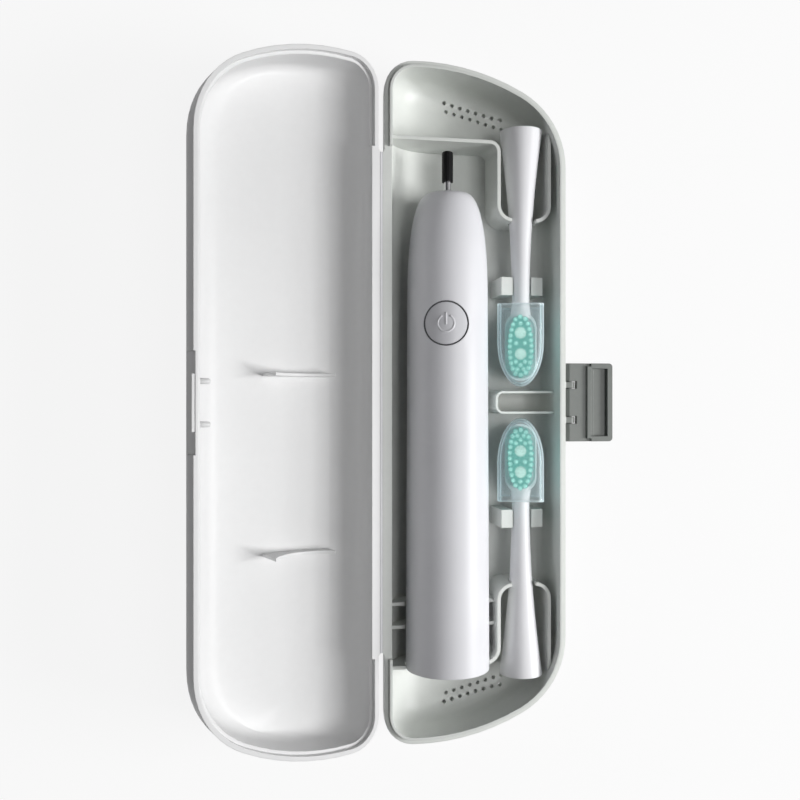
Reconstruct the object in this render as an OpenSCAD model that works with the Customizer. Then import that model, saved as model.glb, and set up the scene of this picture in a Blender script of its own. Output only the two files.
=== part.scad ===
// Travel case for an electric toothbrush, lying open on its back.
// The base holds a sonic handset and two capped brush heads; the lid hangs on a moulded film hinge.
// X runs across the case from hinge to latch, Y along it and Z up.
// The origin is under the middle of the base, on its flat back.
// Case forms are drawn in a hinge frame: u from the fold line, y along the case, z up from the rim.

/* [Case] */
// Wall thickness at the rim of both halves
wall = 2.5; // [2.2:0.1:3]
// Thickness of the flat backs of both halves
back_wall = 1.9; // [1.5:0.1:3]
// Distance from the fold line to the rims beside it
rim_gap = 1; // [0.8:0.1:1.5]
// Length of each rounded end beyond the partition that closes the handset trough
end_space = 24.85; // [22:0.5:30]
// Radius of the long arc that bows each end
end_bow = 75; // [65:1:90]
// Distance from the fold line to the crest of that bow
bow_crest = 14; // [12.5:0.5:18]
// Plan radius of the corners beside the hinge
hinge_corner_r = 10; // [8:0.5:11]
// Plan radius of the corners beside the latch
front_corner_r = 28; // [22:1:32]
// Slope of the side walls, as inward run over depth
draft = 0.02; // [0:0.005:0.03]
// Height of the straight part of the base's wall beside the hinge
wall_straight = 3; // [2:0.5:4]
// Radius where the base's end walls meet its floor, inside
base_end_fillet = 6.5; // [5:0.5:8]
// Radius where the base's front wall meets its floor, inside
base_front_fillet = 7; // [5:0.5:8]
// Width of the base's curved wall beside the hinge, inside
base_hinge_sweep = 17; // [15:0.5:18]
// Height of the straight part of the lid's wall beside the hinge
lid_straight = 2; // [1.5:0.1:3]
// Width of the lid's curved wall beside the hinge, inside
lid_hinge_sweep = 25; // [20:0.5:27]
// Radius where the lid's end walls meet its crown, inside
lid_end_fillet = 4.5; // [3:0.5:6]
// Radius where the lid's front wall meets its crown, inside
lid_front_fillet = 10.5; // [8:0.5:11]
// Space between the top of the stored handset and the lid's crown
crown_space = 4.7; // [3:0.1:8]
// Angle by which the open lid stands away from closed
lid_open = 157.7; // [90:0.1:179]
// Gap between the two rims when the case is shut
seam_gap = 0.3; // [0.2:0.05:0.5]

/* [Rim and hinge] */
// Height of the locating lip on the base's rim
lip_h = 1.4; // [0.8:0.1:1.8]
// Thickness of the locating lip
lip_t = 0.9; // [0.7:0.05:1]
// Side clearance of the lip in the lid's rebate
lip_clear = 0.15; // [0.1:0.05:0.3]
// Length of the film hinge
hinge_len = 167.6; // [120:1:180]
// Thickness of the two flanges beside the film
flange_t = 1.2; // [0.8:0.1:2]
// Thickness of the film that folds
film_t = 0.4; // [0.3:0.05:0.6]
// Half width of the film between the flanges
film_half = 0.45; // [0.3:0.05:0.6]
// Size of the bevel at each end of the hinge
hinge_bevel = 1.6; // [0.5:0.1:2.5]

/* [Tray ribs] */
// Thickness of the partitions and pocket walls
rib_t = 1.2; // [0.8:0.1:1.6]
// Depth of the partition tops below the rim
rib_drop = 2; // [1:0.1:3]
// Inside width of each brush head pocket
pocket_w = 16.6; // [16:0.1:19]
// Length of each pocket beyond its partition line towards the middle
pocket_len = 26.1; // [22:0.5:30]
// Inner corner radius of the pockets
pocket_r = 4.4; // [2:0.1:6]
// Corner radius of the upper partition
upper_corner_r = 2.6; // [1.5:0.1:5]
// Corner radius of the lower partition
lower_corner_r = 4.4; // [1.5:0.1:6]
// Space between the pocket wall and the front wall's rim
pocket_side_space = 2; // [1:0.1:4]
// Distance of the inner cradle rib from the middle of the case
cradle_y1 = 67.7; // [60:0.5:70]
// Distance of the outer cradle rib from the middle of the case
cradle_y2 = 75.4; // [72:0.5:80]
// Depth of the cradle ribs' tops below the rim
cradle_drop = 5.5; // [4:0.1:8]
// Half width of the finger bar between the brush heads
bar_half = 3.9; // [3:0.05:5]
// Thickness of the finger bar's wall
bar_t = 0.8; // [0.6:0.1:1.2]
// Depth of the finger bar's top below the rim
bar_drop = 4; // [2:0.5:8]
// Distance of the neck clips from the middle of the case
clip_y = 39.8; // [38:0.1:42]
// Length of each neck clip post
clip_len = 6.2; // [4:0.1:8]
// Thickness of each neck clip post
clip_t = 4; // [2:0.1:5]
// Depth of the clip tops below the rim
clip_drop = 4.5; // [2:0.1:5]
// Number of vent holes in each row
vent_count = 8; // [4:1:9]
// Diameter of a vent hole
vent_d = 1.3; // [0.8:0.1:1.6]
// Distance between vent holes along the row
vent_pitch = 2.97; // [2.4:0.01:3.1]
// Distance between the two vent rows
vent_row = 3.1; // [2.4:0.1:3.5]
// Slant of the vent rows
vent_slant = 14.5; // [5:0.5:18]
// Distance of the first vent from the fold line
vent_u = 24.9; // [20:0.1:28]
// Distance of the first vent from the outer end of the case
vent_inset = 7.45; // [7:0.05:10]

/* [Lid ribs] */
// Thickness of the two ribs that hold the handset down
lid_rib_t = 1; // [0.8:0.1:1.6]
// Place of the upper lid rib along the case
lid_rib_y1 = 9; // [5:0.5:14]
// Place of the lower lid rib along the case
lid_rib_y2 = -49; // [-55:0.5:-40]
// Reach of the lid ribs beyond the handset's axis, towards the latch
lid_rib_far = 12.4; // [11:0.1:13]
// Reach of the lid ribs beyond the handset's axis, towards the hinge
lid_rib_near = 10.1; // [8:0.1:12]
// Gap between the lid ribs and the stored handset
lid_rib_clear = 1; // [0.5:0.1:2]
// Distance of the two lid nubs from the middle of the case
nub_y = 6.4; // [5:0.1:8]
// Height of the nubs above the lid's rim
nub_z = 4.2; // [3.5:0.1:6]
// Radius of the nubs
nub_r = 0.9; // [0.6:0.1:1.1]
// How far the nubs stand out of the lid's wall
nub_out = 0.8; // [0.5:0.1:1]

/* [Latch] */
// Width of the latch along the case
latch_w = 26.8; // [22:0.1:32]
// Length of the latch from its pivot
latch_len = 14.8; // [13:0.1:17]
// Thickness of the latch plate
latch_t = 1.6; // [1.2:0.1:2]
// Distance of the latch pivot outside the rim
pivot_out = 2.5; // [2.3:0.05:3]
// Depth of the latch pivot below the rim
pivot_drop = 3.6; // [3.2:0.1:4]
// Radius of the latch's own pivot bar
pivot_r = 1; // [0.8:0.05:1.1]
// Radial running clearance of the pivot bar in its lugs
pivot_clear = 0.05; // [0.03:0.01:0.1]
// Outer radius of the lugs
lug_r = 1.9; // [1.7:0.05:2]
// Width of each lug
lug_w = 2; // [1.5:0.1:3]
// Distance of each lug from the middle of the latch
lug_y = 6; // [5:0.1:8]
// Distance of the hook ridge from the pivot
hook_u = 5.7; // [5.5:0.05:6]
// Width of the hook ridge
hook_w = 1.4; // [1:0.1:1.8]
// Height of the hook ridge above the plate
hook_h = 1; // [0.8:0.05:1.1]
// Depth of the recess that the closed latch lies in
recess_depth = 0.6; // [0.4:0.05:0.7]
// Clearance round the latch in its recess
recess_clear = 1.8; // [0.5:0.1:3]
// Half length of the catch bar
catch_half = 8.5; // [6:0.1:12]
// How far the catch bar stands out of the recess
catch_out = 1.05; // [0.9:0.05:1.1]
// Height of the catch bar's top above the rim
catch_top = 1.7; // [1.5:0.05:1.8]
// Thickness of the catch bar
catch_t = 1.2; // [1:0.1:1.2]
// Width of the raised edge round the latch's finger pocket
latch_edge = 1.8; // [1.2:0.1:2.4]
// Depth of the finger pocket below the latch plate
latch_pocket = 0.6; // [0.3:0.1:0.8]

/* [Handset] */
// Diameter of the handset's body at its lower end
handset_d = 28; // [26:0.2:30]
// Loss of radius from the lower end to the shoulder
handset_taper = 0.5; // [0:0.05:1]
// Length of the handset's body without its shaft
handset_len = 158.6; // [150:0.1:165]
// Length of the curved shoulder
shoulder_len = 41; // [34:0.5:46]
// Radius of the flat nose
nose_r = 6.5; // [5.5:0.1:8]
// Wall thickness of the handset's housing
handset_wall = 1.5; // [1.2:0.1:1.8]
// Turn of the stored handset about its own axis
handset_roll = 15; // [0:1:30]
// Depth of the stored handset's axis below the rim
handset_sink = 3.2; // [2.5:0.1:4]
// Gap under a piece that lies in its seat
seat_gap = 0.3; // [0.2:0.05:0.4]
// Gap between the trough's hinge side and the handset
handset_side_gap = 5.4; // [4:0.1:7]
// Gap between the handset and the pocket wall
pocket_gap = 3; // [2.5:0.1:6]
// Space between the shaft's tip and the upper partition
tip_gap = 3.85; // [2:0.05:6]
// How far the handset's lower end passes over the lower partition
end_overhang = 1; // [0:0.1:2]
// Diameter of the power button
button_d = 13.6; // [11:0.1:14]
// Distance of the button's centre from the nose
button_from_nose = 44.2; // [43:0.1:47]
// Travel of the power button
button_travel = 0.4; // [0.2:0.05:0.5]
// Width of the soft ring round the button
gasket_w = 0.5; // [0.3:0.05:0.6]
// Depth of the button's curved face below the housing round it
button_drop = 0.3; // [0.2:0.05:0.5]
// Wall of the collar that holds the button's ring inside the housing
collar_wall = 1.2; // [0.8:0.1:1.6]
// Diameter of the steel drive shaft
shaft_d = 2.45; // [2:0.05:3]
// Length of the drive shaft outside the nose
shaft_out = 14.4; // [12:0.1:16]
// Length of the black sleeve on the shaft
sleeve_len = 10.2; // [8:0.1:11]
// Diameter of that sleeve
sleeve_d = 3.76; // [3.2:0.02:4.2]
// Diameter of the shaft seal in the nose
seal_d = 5.6; // [5:0.1:7]

/* [Inside the handset] */
// Radius of the chassis that carries the works
chassis_r = 11.2; // [10.8:0.1:11.6]
// Wall of the chassis trough
chassis_wall = 1.2; // [1:0.1:1.6]
// Thickness of the chassis bulkheads
bulkhead_t = 2.4; // [1.5:0.1:3]
// Diameter of the motor
motor_d = 14.6; // [14.6:0.1:15]
// Length of the motor
motor_len = 34; // [28:1:38]
// Diameter of the rechargeable cell
cell_d = 14; // [13.6:0.1:14.2]
// Length of the rechargeable cell
cell_len = 50; // [44:1:52]
// Width of the circuit board
board_w = 13.6; // [12:0.2:14]
// Thickness of the circuit board
board_t = 1; // [0.8:0.1:1.2]
// Height of the circuit board's underside above the axis
board_z = 7.9; // [7.9:0.05:8]
// Outer diameter of the charging coil
coil_d = 20; // [16:0.5:21]
// Clearance between parts that are fitted together
fit_gap = 0.05; // [0.02:0.01:0.1]

/* [Brush heads] */
// Length of a brush head
head_len = 85.6; // [84:0.1:87]
// Diameter of the funnel end
head_end_d = 14.6; // [13:0.1:15.6]
// Diameter of the neck
neck_d = 6; // [5:0.1:6.2]
// Distance from the funnel end to the slim neck
neck_from = 58; // [54:0.5:59]
// Depth of the stored heads' axis below the rim
head_sink = 6; // [5:0.1:7.5]
// Turn of the stored heads about their own axis
head_roll = 18; // [0:1:20]
// Overlap of the funnel end past the partition line
head_overlap = 5; // [4:0.1:7]
// Width of the bristle plate
plate_w = 10.8; // [10.4:0.1:11]
// Length of the bristle plate
plate_len = 23.6; // [23:0.1:25]
// Thickness of the bristle plate
plate_t = 4.2; // [3.6:0.1:5]
// Width of the bristle field
field_w = 9.4; // [9.3:0.1:9.6]
// Length of the bristle field
field_len = 21.2; // [20.8:0.1:21.6]
// Length of the green bristles
bristle_h = 8.7; // [8:0.1:9.4]
// Radius of one bristle
bristle_r = 0.24; // [0.18:0.01:0.26]
// Number of green tufts in the outer ring
ring_tufts = 24; // [16:2:24]
// Radius of the two pale round tufts
pale_r = 2.1; // [1.6:0.1:2.1]
// Distance between the pale tufts
pale_pitch = 7.1; // [6.8:0.1:7.2]
// Shift of both pale tufts towards the neck
pale_shift = 0.9; // [0.5:0.1:1]
// Length of the cap
cap_len = 27.6; // [27.4:0.1:28.2]
// Width of the cap
cap_w = 15.4; // [15.2:0.1:16.4]
// Wall thickness of the cap
cap_wall = 0.8; // [0.6:0.05:1]
// Length of the cap's curved nose
cap_nose = 14.7; // [14:0.1:16]
// Rounding of the cap's upper edges
cap_top_r = 2.2; // [1.6:0.1:2.4]
// Distance from the head's tip to the cap's tip
cap_tip_space = 2.1; // [2:0.1:2.4]
// Gap between the cap's tip and the finger bar
cap_gap = 1.4; // [1:0.1:3]

/* [Hidden] */
$fn = 64;

// Colours
shell_white = [0.90, 0.91, 0.91];
tray_white = [0.80, 0.83, 0.81];
handset_white = [0.93, 0.93, 0.95];
mint = [0.45, 0.80, 0.70];
pale_mint = [0.84, 0.90, 0.84];
cap_blue = [0.70, 0.84, 0.88, 0.5];

// Handset lengths and places, measured along the case from its middle
handset_r = handset_d / 2;
stored_len = handset_len + shaft_out;
head_end_y = bar_half + cap_gap + cap_tip_space + head_len;
partition_y = max((stored_len + tip_gap - end_overhang) / 2, head_end_y - head_overlap);
case_half = partition_y + end_space;
nose_y = partition_y - tip_gap - shaft_out;
tail_y = nose_y - handset_len;

// Places across the case, from the fold line
rim_u0 = rim_gap;
inner_u0 = rim_u0 + wall;
handset_u = inner_u0 + handset_side_gap + handset_r;
pocket_u0 = handset_u + handset_r + pocket_gap;
head_u = pocket_u0 + rib_t + pocket_w / 2;
pocket_u1 = pocket_u0 + pocket_w + 2 * rib_t;
rim_u1 = pocket_u1 + pocket_side_space + wall;
mid_u = (rim_u0 + rim_u1) / 2;

// Depths
base_in = handset_sink + handset_r + seat_gap;
base_out = base_in + back_wall;
lid_in = handset_r - handset_sink + crown_space;
lid_out = lid_in + back_wall;
fold_z = seam_gap / 2;

// Lip and rebate, as insets from the outer edge of the rim
lip_inset = wall - lip_t;
rebate_inset = lip_inset - lip_clear;
rebate_h = lip_h + lip_clear;
lip_end_gap = 0.4;
hinge_zone = hinge_len / 2 + lip_end_gap;

// Latch and catch
pivot_u = rim_u1 + pivot_out;
recess_u = rim_u1 - recess_depth;
plate_lift = 1.7;
latch_gap = 0.3;
ridge_sink = 0.2;

// Power button, seen in the handset's own frame: y along the shaft, z through the button
button_y = nose_y - button_from_nose;
button_r = button_d / 2;
collar_z = 9.3;
switch_h = 1;
bore_from = 7;

// Walls of a dish: how far each side has moved inwards at a depth
function fillet_run(t, depth, r) = t > depth - r ? r - sqrt(max(0, r * r - pow(t - depth + r, 2))) : 0;

// Plan outline of the case at an inset from the rim's outer edge, as arcs of exact tangent circles
front_steps = 10;
bow_steps = 6;
function arc(c, r, a0, a1, n) = [for (i = [0:n]) let (a = a0 + (a1 - a0) * i / n) c + r * [cos(a), sin(a)]];
function outline_half(inset) =
    let (
        bow_y = case_half - end_bow,
        c1u = rim_u0 + hinge_corner_r,
        c1 = [c1u, bow_y + sqrt(pow(end_bow - hinge_corner_r, 2) - pow(bow_crest - c1u, 2))],
        c2u = rim_u1 - front_corner_r,
        c2 = [c2u, bow_y + sqrt(pow(end_bow - front_corner_r, 2) - pow(c2u - bow_crest, 2))],
        e = [bow_crest, bow_y],
        a1 = atan2(c1.y - e.y, c1.x - e.x),
        a2 = atan2(c2.y - e.y, c2.x - e.x)
    )
    concat(
        arc(c2, front_corner_r - inset, 0, a2, front_steps),
        arc(e, end_bow - inset, a2 + (a1 - a2) / (bow_steps + 1), a1, bow_steps),
        arc(c1, hinge_corner_r - inset, a1 + (180 - a1) / (bow_steps + 1), 180, bow_steps)
    );
function outline(inset) =
    let (half = outline_half(inset), n = len(half))
    concat(half, [for (i = [n - 1:-1:0]) [half[i].x, -half[i].y]]);

// One half of the case as a solid dish, open side up: the outline shrinks level by level
levels = 9;
module dish(inset, top, depth, straight, sweep, end_r, front_r) {
    plan = outline(inset);
    n = len(plan);
    u0 = rim_u0 + inset;
    u1 = rim_u1 - inset;
    half = case_half - inset;
    drops = concat([-top, 0], [for (i = [0:levels]) straight + (depth - straight) * sin(90 * i / levels)]);
    sweeps = concat([0, 0], [for (i = [0:levels]) sweep * (1 - cos(90 * i / levels))]);
    rings = [
        for (k = [0:len(drops) - 1])
        let (
            t = max(0, drops[k]),
            near = draft * t + sweeps[k],
            far = draft * t + fillet_run(t, depth, front_r),
            ends = draft * t + fillet_run(t, depth, end_r)
        )
        for (p = plan)
        [
            u0 + near + (p.x - u0) * (u1 - u0 - near - far) / (u1 - u0),
            p.y * (1 - ends / half),
            -drops[k]
        ]
    ];
    last = len(drops) - 1;
    sides = [
        for (k = [0:last - 1]) for (j = [0:n - 1])
        let (a = k * n + j, b = k * n + (j + 1) % n)
        each [[a, b, b + n], [a, b + n, a + n]]
    ];
    polyhedron(
        points = rings,
        faces = concat([[for (j = [n - 1:-1:0]) j]], sides, [[for (j = [0:n - 1]) last * n + j]]),
        convexity = 4
    );
}

module plan_prism(inset, z0, z1) {
    translate([0, 0, z0]) linear_extrude(z1 - z0) polygon(outline(inset));
}

// Rounded rectangle from straight edges and true quarter circles
module rounded(u0, y0, u1, y1, r) {
    translate([u0 + r, y0]) square([u1 - u0 - 2 * r, y1 - y0]);
    translate([u0, y0 + r]) square([u1 - u0, y1 - y0 - 2 * r]);
    for (u = [u0 + r, u1 - r]) for (y = [y0 + r, y1 - r]) translate([u, y]) circle(r);
}

module rounded_wall(u0, y0, u1, y1, r, t) {
    difference() {
        rounded(u0, y0, u1, y1, r + t);
        rounded(u0 + t, y0 + t, u1 - t, y1 - t, r);
    }
}

// From the hinge frame to the part's own frame
module in_base() {
    translate([-mid_u, 0, base_out]) children();
}

// A lid drawn shut turns about the fold line to where it stands open
module in_lid() {
    in_base() translate([0, 0, fold_z]) rotate([0, -lid_open, 0]) translate([0, 0, fold_z]) children();
}

// How far a cutting form runs past what it cuts
past = 1;

module along_y(u, z, y0, y1, r) {
    translate([u, y1, z]) rotate([90, 0, 0]) cylinder(h = y1 - y0, r = r);
}

// Partition and pocket wall at one end of the tray
module end_ribs(corner_r) {
    far = 2 * case_half;
    pocket_y = partition_y - pocket_len - rib_t / 2;
    difference() {
        rounded_wall(-far, -far, pocket_u0 + rib_t, partition_y + rib_t / 2, corner_r, rib_t);
        translate([-2 * far, -4 * far]) square([4 * far, 4 * far + pocket_y + pocket_r + rib_t]);
    }
    difference() {
        rounded_wall(pocket_u0, pocket_y, pocket_u1, far, pocket_r, rib_t);
        translate([0, partition_y - corner_r - rib_t]) square([head_u, far]);
    }
}

// Space that a stored handset needs, with a gap round it
module handset_room(gap) {
    behind = 5;
    along_y(handset_u, -handset_sink, tail_y - behind, nose_y, handset_r + gap);
    translate([handset_u - handset_r - gap, tail_y - behind, -handset_sink])
        cube([2 * (handset_r + gap), handset_len + behind, base_in]);
}

module neck_room(y, r) {
    along_y(head_u, -head_sink, y - clip_len, y + clip_len, r);
    translate([head_u - r, y - clip_len, -head_sink]) cube([2 * r, 2 * clip_len, base_in]);
}

module neck_clips(y) {
    for (side = [-1, 1])
        translate([
            head_u + side * (neck_d / 2 + seat_gap + clip_t / 2) - clip_t / 2,
            y - clip_len / 2,
            -base_out
        ]) cube([clip_t, clip_len, base_out - clip_drop]);
}

module tray_ribs() {
    difference() {
        union() {
            translate([0, 0, -base_out]) linear_extrude(base_out - rib_drop) {
                end_ribs(upper_corner_r);
                mirror([0, 1]) end_ribs(lower_corner_r);
            }
            for (y = [cradle_y1, cradle_y2])
                translate([0, -y - rib_t / 2, -base_out])
                    cube([pocket_u0 + rib_t, rib_t, base_out - cradle_drop]);
            translate([0, 0, -base_out]) linear_extrude(base_out - bar_drop)
                rounded_wall(pocket_u0, -bar_half, 2 * rim_u1, bar_half, bar_half / 2, bar_t);
            neck_clips(clip_y);
            neck_clips(-clip_y);
        }
        handset_room(seat_gap);
        for (y = [-1, 1] * (partition_y - pocket_len))
            neck_room(y, head_radius(head_overlap + pocket_len) + seat_gap);
    }
}

module vents() {
    for (end = [-1, 1]) for (row = [0, 1]) for (i = [0:vent_count - 1])
        let (
            run = i * vent_pitch,
            u = vent_u + run * cos(vent_slant) + row * vent_row * sin(vent_slant),
            y = case_half - vent_inset - run * sin(vent_slant) - row * vent_row * cos(vent_slant)
        )
        translate([u, end * y, -base_out - past]) cylinder(h = base_out, d = vent_d, $fn = 16);
}

// Flange that carries the film hinge, in the hinge frame of the half that it belongs to
module hinge_flange(gap) {
    half = hinge_len / 2;
    translate([0, 0, -gap - flange_t]) linear_extrude(flange_t)
        polygon([
            [film_half, -half + hinge_bevel], [film_half, half - hinge_bevel],
            [rim_u0 + wall / 2, half + hinge_bevel], [rim_u0 + wall / 2, -half - hinge_bevel]
        ]);
}

module latch_lugs() {
    for (side = [-1, 1]) difference() {
        union() {
            along_y(pivot_u, -pivot_drop, side * lug_y - lug_w / 2, side * lug_y + lug_w / 2, lug_r);
            translate([rim_u1 - wall / 2, side * lug_y - lug_w / 2, -pivot_drop - lug_r])
                cube([pivot_out + wall / 2, lug_w, 2 * lug_r]);
        }
        along_y(pivot_u, -pivot_drop, side * lug_y - lug_w, side * lug_y + lug_w, pivot_r + pivot_clear);
    }
}

module base_shell() {
    color(tray_white) in_base() {
        difference() {
            union() {
                dish(0, 0, base_out, wall_straight, base_hinge_sweep + wall / 2, base_end_fillet + back_wall,
                     base_front_fillet + back_wall);
                difference() {
                    plan_prism(lip_inset, -lip_t, lip_h);
                    translate([0, -hinge_zone, 0])
                        cube([rim_u0 + 2 * hinge_corner_r, 2 * hinge_zone, 2 * lip_h]);
                }
                hinge_flange(0);
            }
            dish(wall, 2 * lip_h, base_in, wall_straight, base_hinge_sweep,
                 base_end_fillet, base_front_fillet);
            vents();
        }
        intersection() {
            tray_ribs();
            dish(wall / 2, 0, base_in + back_wall / 2, wall_straight, base_hinge_sweep,
                 base_end_fillet + back_wall / 2, base_front_fillet + back_wall / 2);
        }
        latch_lugs();
    }
}

// One rib of the lid, cut to an arc round the stored handset
module lid_rib(y) {
    reach = handset_r + lid_rib_clear;
    tall_u = handset_u + lid_rib_far;
    difference() {
        translate([inner_u0, y - lid_rib_t / 2, 0]) cube([tall_u - inner_u0, lid_rib_t, lid_out]);
        along_y(handset_u, -handset_sink - seam_gap, y - lid_rib_t, y + lid_rib_t, reach);
        translate([0, y - lid_rib_t, -past]) cube([handset_u - lid_rib_near, 2 * lid_rib_t, lid_out + past]);
    }
}

module lid_shut() {
    mirror_dish = [0, 0, 1];
    difference() {
        mirror(mirror_dish) dish(0, 0, lid_out, lid_straight, lid_hinge_sweep + wall / 2,
                                 lid_end_fillet + back_wall, lid_front_fillet + back_wall);
        mirror(mirror_dish) dish(wall, 2 * lip_h, lid_in, lid_straight, lid_hinge_sweep,
                                 lid_end_fillet, lid_front_fillet);
        difference() {
            plan_prism(rebate_inset, -lip_h, rebate_h);
            translate([0, -hinge_len / 2, -2 * lip_h])
                cube([rim_u0 + 2 * hinge_corner_r, hinge_len, 4 * lip_h]);
        }
        translate([recess_u, -latch_w / 2 - recess_clear, -lip_h])
            cube([wall, latch_w + 2 * recess_clear, lid_out]);
    }
    translate([recess_u - recess_depth / 2, -catch_half, catch_top - seam_gap - catch_t])
        cube([catch_out + recess_depth / 2, 2 * catch_half, catch_t]);
    mirror(mirror_dish) hinge_flange(0);
    intersection() {
        union() {
            lid_rib(lid_rib_y1);
            lid_rib(lid_rib_y2);
            for (y = [-nub_y, nub_y])
                translate([rim_u1 - wall - nub_out, y, nub_z])
                    rotate([0, 90, 0]) cylinder(h = wall, r = nub_r);
        }
        mirror(mirror_dish) dish(wall / 2, 0, lid_in + back_wall / 2, lid_straight, lid_hinge_sweep,
                                 lid_end_fillet + back_wall / 2, lid_front_fillet + back_wall / 2);
    }
}

module lid_shell() {
    color(shell_white) in_lid() lid_shut();
}

// The film between the flanges, bent to the angle at which the lid stands open
module film_hinge() {
    half = hinge_len / 2 - hinge_bevel;
    reach = film_half - fit_gap;
    bend = 180 - lid_open;
    out = [-cos(bend), sin(bend)];
    under = [-sin(bend), -cos(bend)];
    color(shell_white) in_base() translate([0, half, fold_z]) rotate([90, 0, 0]) linear_extrude(2 * half)
        polygon([
            [reach, 0], [0, 0], reach * out, reach * out + film_t * under,
            film_t * under, [0, -film_t], [reach, -film_t]
        ]);
}

module latch() {
    ridge_u = hook_u + hook_w;
    pocket_near = ridge_u + latch_corner;
    pocket_far = latch_len - latch_edge;
    half = latch_w / 2;
    bar_half_len = half - catch_t / 2;
    color(tray_white) in_base() translate([pivot_u, 0, -pivot_drop]) {
        along_y(0, 0, -bar_half_len, bar_half_len, pivot_r);
        difference() {
            union() {
                translate([0, 0, plate_lift - latch_t]) linear_extrude(latch_t) latch_plan(latch_len, half);
                translate([hook_u, -half + past, plate_lift - ridge_sink])
                    cube([hook_w, latch_w - 2 * past, hook_h + ridge_sink]);
                translate([0, 0, plate_lift - ridge_sink]) linear_extrude(hook_h + ridge_sink)
                    intersection() {
                        latch_plan(latch_len, half);
                        difference() {
                            translate([ridge_u, -half]) square([latch_len, latch_w]);
                            rounded(ridge_u - past, -half + latch_edge, pocket_far, half - latch_edge, nub_r);
                        }
                    }
                along_y(0, 0, -half, half, plate_lift);
            }
            translate([pocket_near, -half + latch_edge, plate_lift - latch_pocket])
                cube([pocket_far - pocket_near, latch_w - 2 * latch_edge, latch_pocket + past]);
            for (side = [-1, 1]) lug_room(side * lug_y, lug_w / 2 + latch_gap, lug_r + latch_gap);
        }
    }
}

// Room for one lug to pass as the latch turns, with the pivot bar left in its middle
module lug_room(y, half, reach) {
    difference() {
        along_y(0, 0, y - half, y + half, reach);
        along_y(0, 0, y - 2 * half, y + 2 * half, pivot_r);
    }
    translate([-reach, y - half, pivot_r]) cube([2 * reach, 2 * half, plate_lift]);
}

latch_corner = 1.3;
module latch_plan(long, half) {
    r = latch_corner;
    translate([0, -half]) square([long - r, 2 * half]);
    translate([0, -half + r]) square([long, 2 * half - 2 * r]);
    for (side = [-1, 1]) translate([long - r, side * (half - r)]) circle(r);
}

// Handset: solids of revolution about its axis, drawn with the nose at the top
function body_radius(y) =
    let (s = (y - (nose_y - shoulder_len)) / shoulder_len, top = handset_r - handset_taper)
    s <= 0
        ? handset_r - handset_taper * (y - tail_y) / (handset_len - shoulder_len)
        : nose_r + (top - nose_r) * sqrt(max(0, 1 - s * s * s));

module turned(points) {
    rotate([-90, 0, 0]) mirror([0, 1, 0]) rotate_extrude($fn = 96) polygon(points);
}

module in_handset() {
    in_base() translate([handset_u, 0, -handset_sink]) rotate([0, -handset_roll, 0]) children();
}

shoulder_steps = 16;
function shoulder_y(i) = nose_y - shoulder_len * (1 - sin(90 * i / shoulder_steps));
function body_profile(inset, y0, y1) = [
    for (y = concat(
        [y0],
        [for (i = [0:shoulder_steps]) if (shoulder_y(i) > y0 && shoulder_y(i) < y1) shoulder_y(i)],
        [y1]
    ))
    [body_radius(min(y, nose_y)) - inset, y]
];

module shape_of_body(inset, y0, y1) {
    turned(concat([[0, y1]], [[0, y0]], body_profile(inset, y0, y1)));
}

nose_wall = 8;
seal_bore = 20;
end_bore_r = handset_r - handset_wall - 0.1;
end_bore_len = 8;
face_r = body_radius(button_y) - button_drop;

// What lies under a face bent like the housing, round the button's middle
module under_face(r) {
    along_y(0, 0, button_y - button_d, button_y + button_d, r);
}

module ring_at_button(z, r, hole) {
    translate([0, button_y, z]) difference() {
        cylinder(h = handset_r, r = r);
        translate([0, 0, -past]) cylinder(h = handset_r + 2 * past, r = hole);
    }
}

module handset_housing() {
    gasket_r = button_r + gasket_w;
    color(handset_white) in_handset() difference() {
        shape_of_body(0, tail_y, nose_y);
        difference() {
            shape_of_body(handset_wall, tail_y + end_bore_len - past / 2, nose_y - nose_wall);
            ring_at_button(collar_z, gasket_r + collar_wall, gasket_r - past);
        }
        along_y(0, 0, tail_y - past, tail_y + end_bore_len, end_bore_r);
        along_y(0, 0, nose_y - seal_bore, nose_y + past, seal_d / 2);
        translate([0, button_y, bore_from]) cylinder(h = handset_r, r = gasket_r);
    }
}

// Plug of the housing's lower end: a disc, and a hollow skirt with a groove for its ring
plug_in = 0.2;
plug_disc = 1.6;
plug_len = 7;
plug_wall = 2.2;
groove_w = 1.3;
groove_y = 5;

module handset_end_cap() {
    r = end_bore_r - fit_gap;
    y0 = tail_y + plug_in;
    color(handset_white) in_handset() difference() {
        union() {
            along_y(0, 0, y0, y0 + plug_disc, r);
            along_y(0, 0, y0 + plug_disc / 2, y0 + plug_len, r - 3 * fit_gap);
        }
        along_y(0, 0, y0 + plug_disc, y0 + plug_len + past, r - plug_wall);
        translate([0, y0 + groove_y, 0]) rotate([90, 0, 0]) rotate_extrude()
            translate([r - groove_w, 0]) square([2 * groove_w, groove_w]);
    }
}

module end_cap_seal() {
    ring_r = 0.58;
    color([0.25, 0.25, 0.27]) in_handset() translate([0, tail_y + plug_in + groove_y - groove_w / 2, 0])
        rotate([90, 0, 0]) rotate_extrude()
            translate([end_bore_r - fit_gap - ring_r - 0.02, 0]) circle(ring_r, $fn = 24);
}

module power_button() {
    skirt = 1.7;
    roof_z = 11.2;
    stem_r = 1.6;
    stem_z = board_z + board_t + switch_h + button_travel + fit_gap;
    skirt_z = collar_z + button_travel + 2 * fit_gap;
    color([0.86, 0.86, 0.88]) in_handset() {
        intersection() {
            under_face(face_r);
            difference() {
                translate([0, button_y, skirt_z]) cylinder(h = handset_r, r = button_r);
                translate([0, button_y, 0]) cylinder(h = roof_z, r = button_r - skirt);
            }
        }
        translate([0, button_y, stem_z]) cylinder(h = roof_z + ridge_sink - stem_z, r = stem_r);
    }
}

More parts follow.
